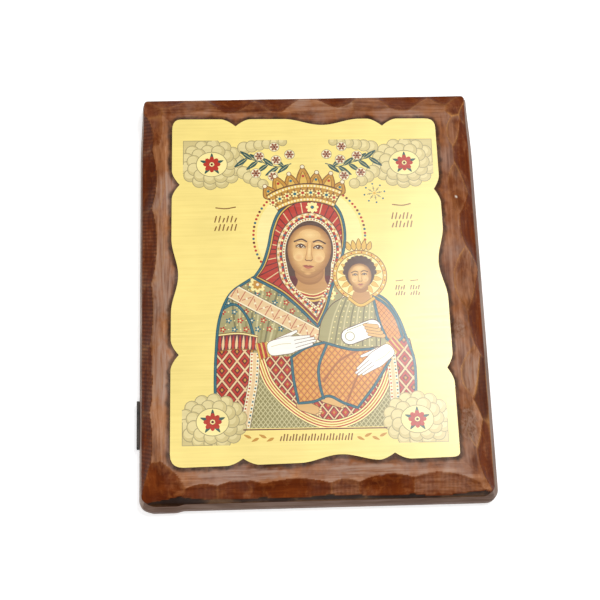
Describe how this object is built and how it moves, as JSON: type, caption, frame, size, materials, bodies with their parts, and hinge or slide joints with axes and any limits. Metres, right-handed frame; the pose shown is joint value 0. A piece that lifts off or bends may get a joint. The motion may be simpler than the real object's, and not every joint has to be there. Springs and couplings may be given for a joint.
{
  "type": "icon panel",
  "caption": "Upright rectangular icon panel: thick stained wooden board with gouge-carved front edges, a gold-ground picture sheet glued on its flat front and a small dark plate on one side.",
  "frame": {"origin": "centre of the board's flat back, on the surface that the panel lies on", "axes": "+Z out of the picture, up as it lies; +Y towards the picture's top; +X to the picture's right"},
  "size_m": [0.2016, 0.251, 0.0206],
  "materials": {
    "varnished_wood": "stained dark red-brown, chiselled and varnished, with a satin sheen",
    "gold_print": "glossy printed picture on a gold ground",
    "dark_metal": "dark, slightly worn satin"
  },
  "bodies": {
    "root": {"board": "varnished_wood", "icon_print": "gold_print", "side_plate": "dark_metal"}
  },
  "joints": []
}
